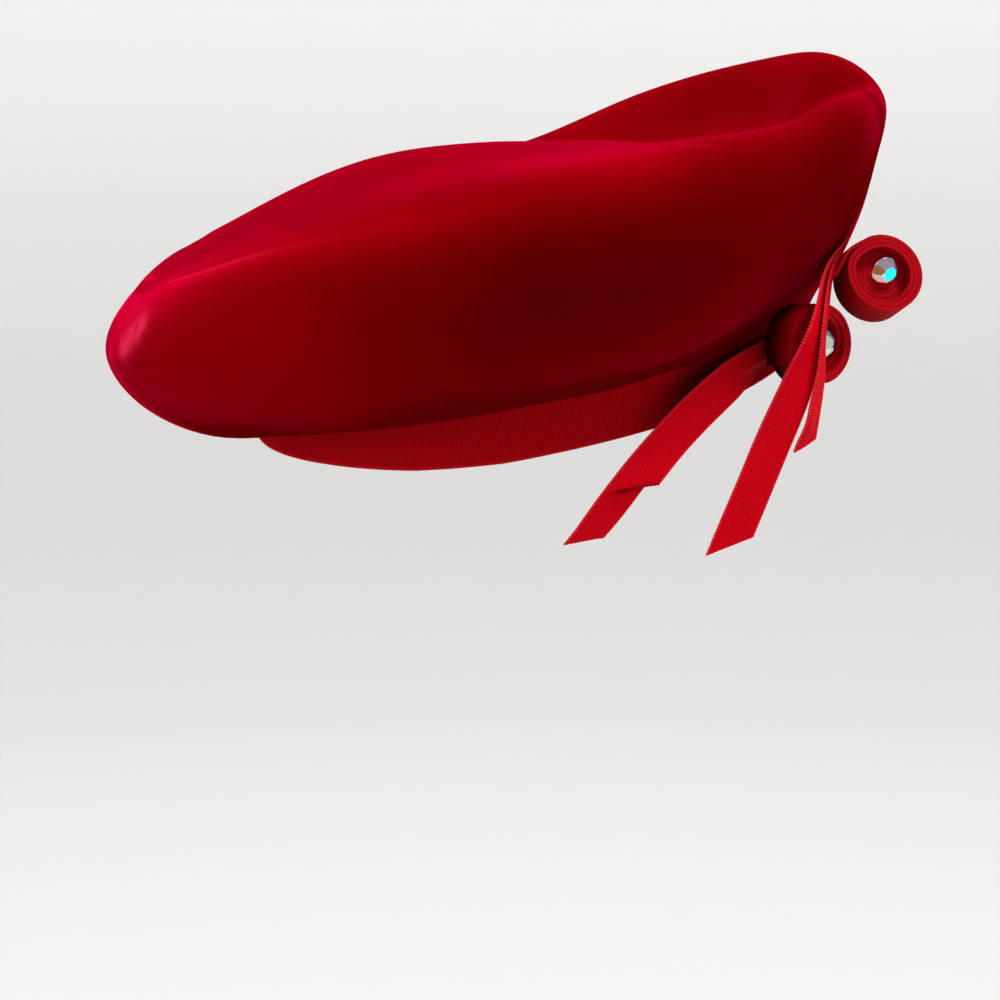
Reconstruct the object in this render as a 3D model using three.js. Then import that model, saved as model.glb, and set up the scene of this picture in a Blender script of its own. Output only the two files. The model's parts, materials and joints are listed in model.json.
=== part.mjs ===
// Tilt hat: a hollow red velvet shell with a dished top, a grosgrain headband inside its opening,
// and a trim of rolled ribbon coils, crystals and ribbon tails at the wearer's right front.
// Millimetres, as worn: +X is the wearer's front, +Y the wearer's left, +Z up.
// The origin is the centre of the head opening, level with the headband's lower edge at the back.

import * as THREE from "three";

// Driving sizes
const WORN_ROLL = 10; // degrees, wearer's left side up
const WORN_PITCH = 8; // degrees, front up

const HEAD_HALF_LENGTH = 91;
const HEAD_HALF_WIDTH = 77;
const BAND_THICKNESS = 1.2;
const BAND_HEIGHT = 26;
const BAND_FRONT_RISE = 9; // the band's lower edge is higher at the front than at the back
const BAND_RISE_START = -0.3; // where it starts to rise, as a share of the way forward

const VELVET_THICKNESS = 2.4;
const TUCK_HEIGHT = 15; // where the turned-under velvet meets the headband
const SEAM_GAP = 0.4;
const RIDGE_SHARE = 0.66; // of the way from the centre of the top to the rim
const DISH_RADIUS = 40; // round middle of the top, low at the wearer's front and left
const DISH_HEIGHT = 81;
const DISH_FRONT_SLOPE = -0.075;
const DISH_LEFT_SLOPE = -0.19;
const TOP_CENTRE_HEIGHT = 83;

const STEPS_AROUND = 72;
const INNER_ROW_STEP = 2; // the inner face takes every second row

// Sections of the velvet shell around the head: [reach, height] from the centre of the head opening.
// Angle 0 is the front, 90 the wearer's left, 180 the back, 270 the wearer's right.
// The rim is rounded off over a share of the way to the belly below it and the ridge inside it.
// Ridge is the height of the top at a fixed share of the way out to the rim.
const SECTIONS = [
  { angle: 0, under: [97, 25], belly: [115, 51], rim: [126, 83], round: 0.24, ridge: 71 },
  { angle: 30, under: [99, 23], belly: [119, 51], rim: [131, 97], round: 0.22, ridge: 67 },
  { angle: 60, under: [96, 19], belly: [117, 47], rim: [119, 84], round: 0.22, ridge: 63 },
  { angle: 90, under: [96, 15], belly: [118, 42], rim: [113, 68], round: 0.22, ridge: 61 },
  { angle: 120, under: [102, 11], belly: [125, 38], rim: [117, 60], round: 0.20, ridge: 64 },
  { angle: 150, under: [110, 9], belly: [133, 36], rim: [122, 56], round: 0.18, ridge: 69 },
  { angle: 180, under: [112, 9], belly: [135, 36], rim: [123, 55], round: 0.16, ridge: 72 },
  { angle: 210, under: [108, 14], belly: [131, 41], rim: [119, 65], round: 0.14, ridge: 78 },
  { angle: 240, under: [101, 20], belly: [119, 49], rim: [110, 79], round: 0.14, ridge: 85 },
  { angle: 270, under: [96, 24], belly: [112, 55], rim: [105, 85], round: 0.16, ridge: 88 },
  { angle: 300, under: [96, 26], belly: [113, 57], rim: [111, 88], round: 0.22, ridge: 87 },
  { angle: 330, under: [96, 30], belly: [115, 55], rim: [121, 91], round: 0.26, ridge: 80 },
];

// Points taken along each stretch of the shell's profile, from the tuck to the centre of the top
const PROFILE_STEPS = [3, 5, 5, 5, 4, 4, 4];

const RIBBON_WIDTH = 12;
const RIBBON_THICKNESS = 1;
const RIBBON_CUT = 5.5; // how far a tail's cut end runs past its middle at each edge

const COIL_RADIUS = 12.5;
const COIL_PITCH = 1.34;
const COIL_TURNS = 6.2;
const COIL_STEPS_PER_TURN = 26;
const COIL_FRONT_TURNS = 2.3; // turns that stand flush with the front of the coil
const COIL_INNER_TURNS = 3; // turns after which the front edge is set back in full
const COIL_RECESS = 3.2;

const STONE_RADIUS = 5.1;
const STONE_SIDES = 10;
const STONE_SEAT_GAP = 0.3;

// Coils: centre of the front, the way the front faces, the angle at which the outer turn starts, and
// the end of its free lead across and up from the centre
const COILS = [
  {
    name: "upper",
    centre: [105.8, -58, 41.4],
    facing: [0.23, -0.91, 0.34],
    start: 108,
    lead: [-8.5, 11.3],
  },
  {
    name: "lower",
    centre: [88, -64.6, 20.4],
    facing: [0.55, -0.83, 0.05],
    start: 200,
    lead: [-11, -6.4],
  },
];

// Stone, girdle up to the table: share of the radius, height above the seat, share of a side's turn
const STONE_RINGS = [
  { radiusShare: 0.86, height: 0, turn: 0 },
  { radiusShare: 1, height: 0.9, turn: 0 },
  { radiusShare: 1, height: 1.2, turn: 0 },
  { radiusShare: 0.82, height: 2.5, turn: 0.5 },
  { radiusShare: 0.5, height: 3.5, turn: 0 },
];

// Tails from the stitched end down: middle of the ribbon, the turn of its face from the wearer's
// right, 0, towards the front, 90, and its tip towards the floor
const TAILS = {
  long: [
    { at: [92.7, -52.2, 48], turn: 73, tip: 34 },
    { at: [88.1, -66.6, 38], turn: 70, tip: 0 },
    { at: [82.7, -78.4, 25], turn: 54, tip: 0 },
    { at: [77, -80, 12], turn: 25, tip: 0 },
    { at: [68, -79.6, -10], turn: 15, tip: 0 },
    { at: [58.5, -78, -37.6], turn: 10, tip: 0 },
  ],
  short: [
    { at: [92.8, -57.2, 42.8], turn: 73, tip: 20 },
    { at: [90.2, -67, 36.4], turn: 78, tip: 0 },
    { at: [87.2, -74.6, 25], turn: 72, tip: 0 },
    { at: [85.4, -75, 10.4], turn: 60, tip: 0 },
    { at: [81.6, -74, -6.5], turn: 50, tip: 0 },
  ],
  side: [
    { at: [73, -52.6, 18.4], turn: 48, tip: 34 },
    { at: [66.4, -60.4, 14.6], turn: 34, tip: 22 },
    { at: [59.2, -67.6, 9.6], turn: 18, tip: 5 },
    { at: [47.7, -73.6, 0], turn: 8, tip: 0 },
    { at: [34.3, -77.6, -13.8], turn: 5, tip: 0 },
    { at: [26.6, -78, -23.1], turn: 15, tip: 0 },
    { at: [15.5, -79.4, -36.6], turn: 40, tip: 0 },
  ],
};
const TAIL_STEPS = 22;
const TAIL_CUT_START = 0.8; // share of the length after which the cut's slant grows

const VELVET = new THREE.MeshStandardMaterial({ color: 0x8f0412, roughness: 0.95, metalness: 0 });
const BAND_RIBBON = new THREE.MeshStandardMaterial({ color: 0x7d0412, roughness: 0.8, metalness: 0 });
const TRIM_RIBBON = new THREE.MeshStandardMaterial({ color: 0xa60a1c, roughness: 0.75, metalness: 0 });
const CRYSTAL = new THREE.MeshStandardMaterial({ color: 0xd8ecf2, roughness: 0.05, metalness: 0.1 });

// Joins loops of equal length into one closed body. Open ends are closed by a fan to a given point.
function skinLoops(loops, endPoints) {
  const count = loops[0].length;
  const points = loops.flat();
  const index = [];
  const bands = endPoints ? loops.length - 1 : loops.length;
  for (let row = 0; row < bands; row++) {
    const next = (row + 1) % loops.length;
    for (let i = 0; i < count; i++) {
      const j = (i + 1) % count;
      const a = row * count + i;
      const b = row * count + j;
      const c = next * count + j;
      const d = next * count + i;
      index.push(a, b, c, a, c, d);
    }
  }
  if (endPoints) {
    const first = points.push(endPoints[0]) - 1;
    const last = points.push(endPoints[1]) - 1;
    const lastRow = (loops.length - 1) * count;
    for (let i = 0; i < count; i++) {
      const j = (i + 1) % count;
      index.push(first, j, i, last, lastRow + i, lastRow + j);
    }
  }
  return new THREE.BufferGeometry().setFromPoints(points).setIndex(index);
}

function polar(angle, reach, height) {
  const turn = THREE.MathUtils.degToRad(angle);
  return new THREE.Vector3(reach * Math.cos(turn), reach * Math.sin(turn), height);
}

// Distance from the centre to the head opening's oval, at one angle
function ovalReach(angle, halfLength, halfWidth) {
  const turn = THREE.MathUtils.degToRad(angle);
  return 1 / Math.hypot(Math.cos(turn) / halfLength, Math.sin(turn) / halfWidth);
}

function bandReach(angle) {
  return ovalReach(angle, HEAD_HALF_LENGTH, HEAD_HALF_WIDTH);
}

function dishPoint(angle) {
  const point = polar(angle, DISH_RADIUS, DISH_HEIGHT);
  point.z += point.x * DISH_FRONT_SLOPE + point.y * DISH_LEFT_SLOPE;
  return point;
}

// Velvet shell: closed hoops through the sections, then a profile across the hoops at each step
function velvetHoops() {
  const hoop = (place) => new THREE.CatmullRomCurve3(SECTIONS.map(place), true);
  const under = (s) => polar(s.angle, ...s.under);
  const belly = (s) => polar(s.angle, ...s.belly);
  const rim = (s) => polar(s.angle, ...s.rim);
  const ridge = (s) => polar(s.angle, s.rim[0] * RIDGE_SHARE, s.ridge);
  const dish = (s) => dishPoint(s.angle);
  const rimWall = (s) => rim(s).lerp(belly(s), s.round);
  const rimTop = (s) => rim(s).lerp(ridge(s), s.round);
  return [under, belly, rimWall, rimTop, ridge, dish].map(hoop);
}

const TOP_CENTRE = new THREE.Vector3(0, 0, TOP_CENTRE_HEIGHT);
const DOWN = new THREE.Vector3(0, 0, -1); // also the outer face's way where the velvet is turned under

// Outer profile at one share of the way around, from the tuck at the headband to the centre of the top.
// It continues past the centre, so that opposite profiles run into each other without a peak.
function velvetProfile(hoops, share) {
  const tuck = polar(360 * share, bandReach(360 * share) + SEAM_GAP, TUCK_HEIGHT);
  const points = hoops.map((hoop) => hoop.getPoint(share));
  const beyond = hoops[hoops.length - 1].getPoint((share + 0.5) % 1);
  return new THREE.CatmullRomCurve3([tuck, ...points, TOP_CENTRE, beyond]);
}

function profileShares() {
  const shares = [];
  const spans = PROFILE_STEPS.length + 1;
  PROFILE_STEPS.forEach((steps, span) => {
    for (let step = 0; step < steps; step++) {
      shares.push((span + step / steps) / spans);
    }
  });
  return shares;
}

function velvetBody() {
  const hoops = velvetHoops();
  const shares = profileShares();
  const profiles = Array.from({ length: STEPS_AROUND }, (_, i) => velvetProfile(hoops, i / STEPS_AROUND));
  const outer = shares.map((share) => profiles.map((profile) => profile.getPoint(share)));
  const inner = outer.map((loop, row) =>
    loop.map((point, i) => {
      const ahead = loop[(i + 1) % STEPS_AROUND];
      const behind = loop[(i + STEPS_AROUND - 1) % STEPS_AROUND];
      const along = profiles[i].getTangent(shares[row]);
      const normal = ahead.clone().sub(behind).cross(along).normalize();
      return point.clone().addScaledVector(row === 0 ? DOWN : normal, -VELVET_THICKNESS);
    }),
  );
  const coarseInner = inner.filter((_, row) => row % INNER_ROW_STEP === 0);
  const innerCentre = TOP_CENTRE.clone().addScaledVector(DOWN, VELVET_THICKNESS);
  return skinLoops([...coarseInner.reverse(), ...outer], [innerCentre, TOP_CENTRE]);
}

// Height of the band's lower edge, level at the back and rising to the front
function bandEdge(angle) {
  const forward = Math.cos(THREE.MathUtils.degToRad(angle));
  return BAND_FRONT_RISE * Math.max(0, (forward - BAND_RISE_START) / (1 - BAND_RISE_START));
}

function headband() {
  const ring = (inset, height) =>
    Array.from({ length: STEPS_AROUND }, (_, i) => {
      const angle = (360 * i) / STEPS_AROUND;
      return polar(angle, bandReach(angle) - inset, height(angle));
    });
  return skinLoops([
    ring(BAND_THICKNESS, bandEdge),
    ring(0, bandEdge),
    ring(0, () => BAND_HEIGHT),
    ring(BAND_THICKNESS, () => BAND_HEIGHT),
  ]);
}

const NO_SKEW = new THREE.Vector3();

// Ribbon along frames of a middle point, a unit vector across its width and one out of its face
function ribbon(frames) {
  const loops = frames.map(({ centre, across, out, width = RIBBON_WIDTH, skew = NO_SKEW }) => {
    const corner = (side, face) =>
      centre
        .clone()
        .addScaledVector(across, (side * width) / 2)
        .addScaledVector(out, (face * RIBBON_THICKNESS) / 2)
        .addScaledVector(skew, side);
    return [corner(1, 1), corner(1, -1), corner(-1, -1), corner(-1, 1)];
  });
  return skinLoops(loops, [frames[0].centre, frames[frames.length - 1].centre]);
}

// Rolled ribbon with its front at local Z 0: a short free lead, flush outer turns, then turns whose
// front edge is set back and whose back edge stays flush
function coil({ start, lead }) {
  const across = new THREE.Vector3(0, 0, 1);
  const frames = [];
  const steps = Math.round(COIL_TURNS * COIL_STEPS_PER_TURN);
  for (let step = 0; step <= steps; step++) {
    const turn = step / COIL_STEPS_PER_TURN;
    const radius = COIL_RADIUS - RIBBON_THICKNESS / 2 - COIL_PITCH * turn;
    const recess = COIL_RECESS * THREE.MathUtils.smoothstep(turn, COIL_FRONT_TURNS, COIL_INNER_TURNS);
    const angle = start - 360 * turn;
    const centre = polar(angle, radius, -(RIBBON_WIDTH + recess) / 2);
    frames.push({ centre, across, out: polar(angle, 1, 0), width: RIBBON_WIDTH - recess });
  }
  const end = new THREE.Vector3(...lead, -RIBBON_WIDTH / 2);
  const run = frames[0].centre.clone().sub(end);
  const out = new THREE.Vector3(-run.y, run.x, 0).normalize();
  return ribbon([{ centre: end, across, out }, ...frames]);
}

// Cut stone: rings of corners up to the table, with every other ring turned by half a side
function stone() {
  const base = -COIL_RECESS + STONE_SEAT_GAP;
  const loops = STONE_RINGS.map(({ radiusShare, height, turn }) =>
    Array.from({ length: STONE_SIDES }, (_, i) =>
      polar((360 * (i + turn)) / STONE_SIDES, STONE_RADIUS * radiusShare, base + height),
    ),
  );
  const table = STONE_RINGS[STONE_RINGS.length - 1].height;
  return skinLoops(loops, [new THREE.Vector3(0, 0, base), new THREE.Vector3(0, 0, base + table)]);
}

// Ribbon tail through its rows, with a slanted cut at the free end
function tail(rows) {
  const path = new THREE.CatmullRomCurve3(rows.map((row) => new THREE.Vector3(...row.at)));
  const facing = new THREE.CatmullRomCurve3(rows.map((row) => new THREE.Vector3(row.turn, row.tip, 0)));
  const frames = [];
  for (let step = 0; step <= TAIL_STEPS; step++) {
    const share = step / TAIL_STEPS;
    const along = path.getTangent(share);
    const { x: turn, y: tip } = facing.getPoint(share);
    const drop = THREE.MathUtils.degToRad(tip);
    const face = polar(turn - 90, Math.cos(drop), -Math.sin(drop));
    const out = face.addScaledVector(along, -face.dot(along)).normalize();
    const across = along.clone().cross(out);
    const cut = Math.max(0, (share - TAIL_CUT_START) / (1 - TAIL_CUT_START));
    const skew = along.clone().multiplyScalar(RIBBON_CUT * cut);
    frames.push({ centre: path.getPoint(share), across, out, skew });
  }
  return ribbon(frames);
}

function node(name, geometry, material) {
  const mesh = new THREE.Mesh(geometry, material);
  mesh.name = name;
  return mesh;
}

const worn = new THREE.Group();
worn.rotation.set(THREE.MathUtils.degToRad(WORN_ROLL), THREE.MathUtils.degToRad(-WORN_PITCH), 0);
worn.add(node("velvet_body", velvetBody(), VELVET));
worn.add(node("headband", headband(), BAND_RIBBON));

const hat = new THREE.Group();
hat.add(worn);

for (const place of COILS) {
  const roll = new THREE.Group();
  roll.up.set(0, 0, 1);
  roll.position.set(...place.centre);
  roll.lookAt(roll.position.clone().add(new THREE.Vector3(...place.facing)));
  roll.add(node(`coil_${place.name}`, coil(place), TRIM_RIBBON));
  roll.add(node(`stone_${place.name}`, stone(), CRYSTAL));
  hat.add(roll);
}

for (const [name, rows] of Object.entries(TAILS)) {
  hat.add(node(`tail_${name}`, tail(rows), TRIM_RIBBON));
}

export default hat;
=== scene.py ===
"""Looks of the tilt hat: red velvet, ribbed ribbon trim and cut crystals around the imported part."""

import json
import math
from collections import namedtuple

import bpy
import numpy as np
from mathutils import Matrix, Quaternion, Vector
from mathutils.kdtree import KDTree

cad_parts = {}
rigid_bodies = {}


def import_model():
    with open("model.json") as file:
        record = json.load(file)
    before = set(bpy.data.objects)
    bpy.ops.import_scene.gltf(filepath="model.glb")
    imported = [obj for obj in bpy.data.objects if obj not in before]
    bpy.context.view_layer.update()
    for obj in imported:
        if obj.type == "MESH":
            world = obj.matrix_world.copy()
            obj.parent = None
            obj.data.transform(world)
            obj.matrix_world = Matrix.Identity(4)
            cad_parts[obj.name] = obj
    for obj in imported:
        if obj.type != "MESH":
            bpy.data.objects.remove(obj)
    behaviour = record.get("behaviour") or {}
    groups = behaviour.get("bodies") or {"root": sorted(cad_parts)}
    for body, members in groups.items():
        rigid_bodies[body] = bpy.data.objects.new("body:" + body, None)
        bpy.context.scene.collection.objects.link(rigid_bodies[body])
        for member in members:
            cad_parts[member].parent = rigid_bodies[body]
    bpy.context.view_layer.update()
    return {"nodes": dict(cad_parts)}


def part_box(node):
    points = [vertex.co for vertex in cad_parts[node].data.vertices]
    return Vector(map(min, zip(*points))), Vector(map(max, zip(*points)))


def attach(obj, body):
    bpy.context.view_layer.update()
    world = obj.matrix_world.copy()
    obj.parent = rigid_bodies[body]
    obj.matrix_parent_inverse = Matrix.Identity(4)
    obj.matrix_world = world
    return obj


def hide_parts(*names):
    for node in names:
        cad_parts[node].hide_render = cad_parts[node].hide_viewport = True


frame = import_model()

# Camera: sizes in metres, the photo in pixels
PHOTO_SIZE = 1000
SENSOR_WIDTH = 36
CAMERA_LENS = 75.6
CAMERA_TARGET = Vector((-0.010, 0.0, -0.0357))
CAMERA_DISTANCE = 0.7
CAMERA_ELEVATION = math.radians(8)
CAMERA_BACK = Vector((0, -math.cos(CAMERA_ELEVATION), math.sin(CAMERA_ELEVATION)))
CAMERA_UP = Vector((0, math.sin(CAMERA_ELEVATION), math.cos(CAMERA_ELEVATION)))
CAMERA_RIGHT = Vector((1, 0, 0))
CAMERA_PLACE = CAMERA_TARGET + CAMERA_DISTANCE * CAMERA_BACK

# How the hat is worn: the wearer's left side up, the front up
WORN_ROLL = math.radians(10)
WORN_PITCH = math.radians(8)
WORN = Matrix.Rotation(WORN_ROLL, 3, "X") @ Matrix.Rotation(-WORN_PITCH, 3, "Y")

# Velvet
HEM_ANGLE = math.radians(55)  # the hem's cut edge is sharper than any other bend
FOLD_STEPS = 160
SWELL_ROUNDS = 80
ROUNDING_LEVELS = 2
MERGE_DISTANCE = 1e-5

# Lines along the velvet as the camera sees it: places in the photo, on the velvet or just past its
# outline, with an amount at each and how far the pile is crushed and lit with a painted highlight
# there, from 0 to 1
SeenRow = namedtuple("SeenRow", "across down amount crush", defaults=(0.0,))

# The amount of a swell or fold is how far the velvet moves, in metres, straight out of its surface
# or the given way
Fold = namedtuple("Fold", "name half_width way rows")
VELVET_SWELLS = (
    Fold(
        "front_outline",
        0.016,
        None,
        (
            SeenRow(815, 293, 0.0014),
            SeenRow(829, 272, 0.0022),
            SeenRow(846, 244, 0.0010),
            SeenRow(862, 213, -0.0002),
            SeenRow(876, 184, -0.0016),
            SeenRow(886, 151, -0.0022),
            SeenRow(889, 118, -0.0005),
            SeenRow(874, 90, 0.0044),
            SeenRow(853, 67, 0.0039),
            SeenRow(822, 52, 0.0019),
            SeenRow(781, 51, -0.0008),
            SeenRow(731, 62, 0.0003),
            SeenRow(688, 76, 0.0014),
            SeenRow(654, 87, 0.0015),
            SeenRow(626, 97, 0.0011),
            SeenRow(603, 105, 0.0005),
            SeenRow(566, 119, -0.0005),
            SeenRow(550, 125, -0.0009),
            SeenRow(537, 130, -0.0015),
            SeenRow(525, 134, -0.0011),
        ),
    ),
    Fold(
        "front_hem",
        0.008,
        None,
        (
            SeenRow(804, 306, 0.0),
            SeenRow(818, 288, 0.0036),
            SeenRow(831, 268, 0.0040),
            SeenRow(847, 243, 0.0),
        ),
    ),
    Fold(
        "back_outline",
        0.012,
        None,
        (
            SeenRow(495, 139, 0.0006),
            SeenRow(464, 140, 0.0004),
            SeenRow(418, 144, 0.0),
            SeenRow(365, 156, 0.0),
            SeenRow(335, 167, 0.0003),
            SeenRow(302, 182, 0.0010),
            SeenRow(284, 191, 0.0012),
            SeenRow(242, 212, 0.0010),
            SeenRow(215, 226, 0.0005),
            SeenRow(187, 242, 0.0015),
            SeenRow(155, 262, 0.0006),
            SeenRow(126, 288, -0.0018),
            SeenRow(108, 316, -0.0006),
            SeenRow(100, 346, -0.0016),
            SeenRow(110, 374, 0.0008),
            SeenRow(132, 398, 0.0034),
            SeenRow(158, 417, 0.0025),
            SeenRow(189, 431, 0.0008),
            SeenRow(226, 438, 0.0016),
            SeenRow(270, 438, 0.0),
        ),
    ),
    Fold(
        "near_ridge",
        0.010,
        None,
        (
            SeenRow(690, 136, 0.0),
            SeenRow(733, 128, -0.0020),
            SeenRow(757, 122, -0.0029),
            SeenRow(775, 118, -0.0037),
            SeenRow(796, 113, -0.0028),
            SeenRow(815, 111, -0.0005),
        ),
    ),
    Fold(
        "front_corner",
        0.011,
        CAMERA_UP,
        (
            SeenRow(818, 110, 0.0),
            SeenRow(835, 109, 0.0026),
            SeenRow(850, 107, 0.0054),
            SeenRow(864, 105, 0.0058),
            SeenRow(874, 106, 0.0030),
        ),
    ),
    Fold(
        "hem_rise",
        0.0090,
        CAMERA_UP,
        (
            SeenRow(430, 420, 0.0),
            SeenRow(470, 413, 0.0012),
            SeenRow(540, 404, 0.0046),
            SeenRow(629, 385, 0.0047),
            SeenRow(683, 372, 0.0060),
            SeenRow(740, 345, 0.0064),
            SeenRow(768, 332, 0.0074),
            SeenRow(804, 310, 0.0084),
            SeenRow(818, 286, 0.0030),
        ),
    ),
)
VELVET_FOLDS = (
    Fold(
        "rim_crease",
        0.0024,
        None,
        (
            SeenRow(150, 287, -0.0002, 0.3),
            SeenRow(175, 279, -0.0005, 0.9),
            SeenRow(205, 270, -0.0006, 1.0),
            SeenRow(235, 260, -0.0006, 1.0),
            SeenRow(265, 252, -0.0004, 0.5),
            SeenRow(300, 243, -0.0003, 0.2),
            SeenRow(345, 233, -0.0002, 0.1),
            SeenRow(398, 222, -0.0002, 0.1),
            SeenRow(460, 209, -0.0002),
            SeenRow(520, 196, -0.0001),
            SeenRow(590, 180, 0.0),
        ),
    ),
    Fold(
        "rim_edge",
        0.0060,
        None,
        (
            SeenRow(160, 303, 0.0),
            SeenRow(205, 285, 0.0006),
            SeenRow(265, 268, 0.0008),
            SeenRow(340, 249, 0.0009),
            SeenRow(398, 238, 0.0009),
            SeenRow(460, 225, 0.0008),
            SeenRow(520, 211, 0.0006),
            SeenRow(590, 195, 0.0),
        ),
    ),
    Fold(
        "back_notch",
        0.0034,
        None,
        (SeenRow(141, 281, -0.0008), SeenRow(150, 283, -0.0006), SeenRow(166, 282, 0.0)),
    ),
    Fold(
        "top_notch",
        0.0040,
        None,
        (SeenRow(194, 240, -0.0007), SeenRow(202, 246, -0.0005), SeenRow(214, 256, 0.0)),
    ),
    Fold(
        "ridge_crease",
        0.0020,
        None,
        (
            SeenRow(640, 145, 0.0, 0.0),
            SeenRow(680, 144, -0.0001, 0.3),
            SeenRow(700, 144, -0.0003, 0.3),
            SeenRow(720, 145, -0.0002, 0.2),
            SeenRow(737, 146, 0.0, 0.0),
        ),
    ),
    Fold(
        "dish_fold",
        0.0055,
        None,
        (
            SeenRow(776, 122, 0.0),
            SeenRow(788, 114, 0.0007),
            SeenRow(797, 103, 0.0010),
            SeenRow(808, 90, 0.0),
        ),
    ),
    Fold(
        "dish_dent",
        0.0060,
        None,
        (
            SeenRow(794, 120, 0.0),
            SeenRow(806, 112, -0.0007),
            SeenRow(822, 100, -0.0009),
            SeenRow(838, 88, 0.0),
        ),
    ),
)
# a spot of crushed pile on the back end, lit with a painted highlight
CRUSHED_SPOT_AND_HIGHLIGHT = (
    SeenRow(124, 346, 0.0, 0.7),
    SeenRow(131, 337, 0.0, 0.6),
    SeenRow(139, 327, 0.0, 0.7),
)
CRUSHED_SPOT_HIGHLIGHT_HALF_WIDTH = 0.0046

# The amount of a nap line is how the pile lies there and where light or shade is painted on the
# velvet: painted light towards 1, painted shade towards -1, as highlights along the rim and crest and
# shade along the hem, the front and the walls
NapAndLightLine = namedtuple("NapAndLightLine", "name half_width rows")
NAP_AND_LIGHT_LINES = (
    NapAndLightLine(
        "rim",
        0.0070,
        (
            SeenRow(120, 380, 0.5),
            SeenRow(112, 350, 0.8),
            SeenRow(124, 325, 1.0),
            SeenRow(160, 298, 1.1),
            SeenRow(205, 280, 1.1),
            SeenRow(265, 263, 1.0),
            SeenRow(340, 247, 1.0),
            SeenRow(400, 236, 0.9),
            SeenRow(460, 225, 0.8),
            SeenRow(520, 212, 0.6),
            SeenRow(590, 196, 0.4),
            SeenRow(650, 182, 0.1),
        ),
    ),
    NapAndLightLine(
        "hem",
        0.0120,
        (
            SeenRow(150, 406, -0.5),
            SeenRow(190, 426, -0.9),
            SeenRow(240, 434, -1.1),
            SeenRow(330, 434, -1.2),
            SeenRow(430, 420, -1.2),
            SeenRow(540, 398, -1.2),
            SeenRow(640, 376, -1.1),
            SeenRow(740, 336, -0.8),
            SeenRow(806, 286, -0.6),
        ),
    ),
    NapAndLightLine(
        "front_edge",
        0.0120,
        (
            SeenRow(882, 122, -0.9),
            SeenRow(878, 152, -1.2),
            SeenRow(866, 188, -1.2),
            SeenRow(848, 228, -0.9),
            SeenRow(826, 268, -0.6),
        ),
    ),
    NapAndLightLine(
        "front_wall",
        0.0180,
        (
            SeenRow(852, 150, -0.7),
            SeenRow(842, 190, -0.8),
            SeenRow(824, 230, -0.5),
            SeenRow(796, 270, -0.4),
        ),
    ),
    NapAndLightLine(
        "front_crest",
        0.0080,
        (SeenRow(800, 117, -0.1), SeenRow(830, 105, 0.0), SeenRow(864, 88, -0.1)),
    ),
    NapAndLightLine("front_dish", 0.0100, (SeenRow(822, 74, -0.4), SeenRow(850, 82, -0.6))),
    NapAndLightLine(
        "dish_shade",
        0.0160,
        (SeenRow(650, 120, -0.3), SeenRow(720, 100, -0.4), SeenRow(790, 105, -0.4)),
    ),
    NapAndLightLine("wall_middle", 0.030, (SeenRow(560, 270, -0.8), SeenRow(610, 280, -0.8))),
    NapAndLightLine("wall_low", 0.024, (SeenRow(430, 345, -0.2), SeenRow(500, 340, -0.3))),
    NapAndLightLine("wall_front", 0.022, (SeenRow(720, 225, -0.3), SeenRow(790, 205, -0.3))),
    NapAndLightLine("wall_back", 0.020, (SeenRow(165, 345, 0.6), SeenRow(265, 330, 0.5))),
    NapAndLightLine("top_back", 0.026, (SeenRow(235, 232, -0.2), SeenRow(330, 195, -0.2))),
    NapAndLightLine(
        "crest",
        0.016,
        (SeenRow(470, 168, 0.4), SeenRow(560, 162, 0.8), SeenRow(640, 160, 0.9)),
    ),
)

# Ribbed ribbon
RIB_PITCH = 0.00085
RIB_STEPS = 4
RIB_ANGLE = math.radians(70)  # a bend sharper than this stays crisp
ACROSS_STEPS = 8
TAIL_ACROSS_STEPS = 32
RIBBON_WIDTH = 0.012
TAIL_THICKNESS = 0.0008
TAIL_GROOVE = 0.6  # share of the thickness left between two ribs
COIL_THICKNESS = 0.00120
COIL_GROOVE = 0.95
TAIL_SCALLOP = 0.02  # how far the edge draws in between two ribs, of the width
COIL_SCALLOP = 0.004

# Headband
HEAD_HALF_LENGTH = 0.091
HEAD_HALF_WIDTH = 0.077
BAND_THICKNESS = 0.0012
BAND_HEIGHT = 0.026
BAND_PATH_STEPS = 1200
BAND_SEAM_DISTANCE = 1e-6

# Height of the band's lower edge from the back, -1, to the front, 1
EdgeRow = namedtuple("EdgeRow", "forward rise")
BAND_EDGE = (
    EdgeRow(-1.0, 0.0016),
    EdgeRow(-0.7, 0.0010),
    EdgeRow(-0.4, -0.0001),
    EdgeRow(-0.1, 0.0002),
    EdgeRow(0.1, 0.0014),
    EdgeRow(0.5, 0.0034),
    EdgeRow(1.0, 0.0090),
)

# Painted shadow where the side tail and the brim shade the band, the amount from 0 to 1
BAND_PAINTED_SHADOW = (
    SeenRow(655, 412, 0.3),
    SeenRow(682, 391, 0.8),
    SeenRow(712, 370, 0.95),
    SeenRow(760, 345, 0.95),
)
BAND_PAINTED_SHADOW_HALF_WIDTH = 0.0060

# Ribbon coils, each in its own axes: right, up and to the front
COIL_RADIUS = 0.0120
COIL_PITCH = 0.00134
COIL_TURNS = 8.6
COIL_ROUND_SHARE = 0.85  # each turn keeps its radius this far, then steps in to the next
COIL_SHADE_SIDE = 1.2  # painted shade on the outer turn, from here across it to its hidden edge
COIL_FRONT_TURNS = 2.3
COIL_INNER_TURNS = 2.9
COIL_RECESS = 0.0045
COIL_PATH_STEPS = 1200
COIL_LEAD_STEPS = 60
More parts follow.
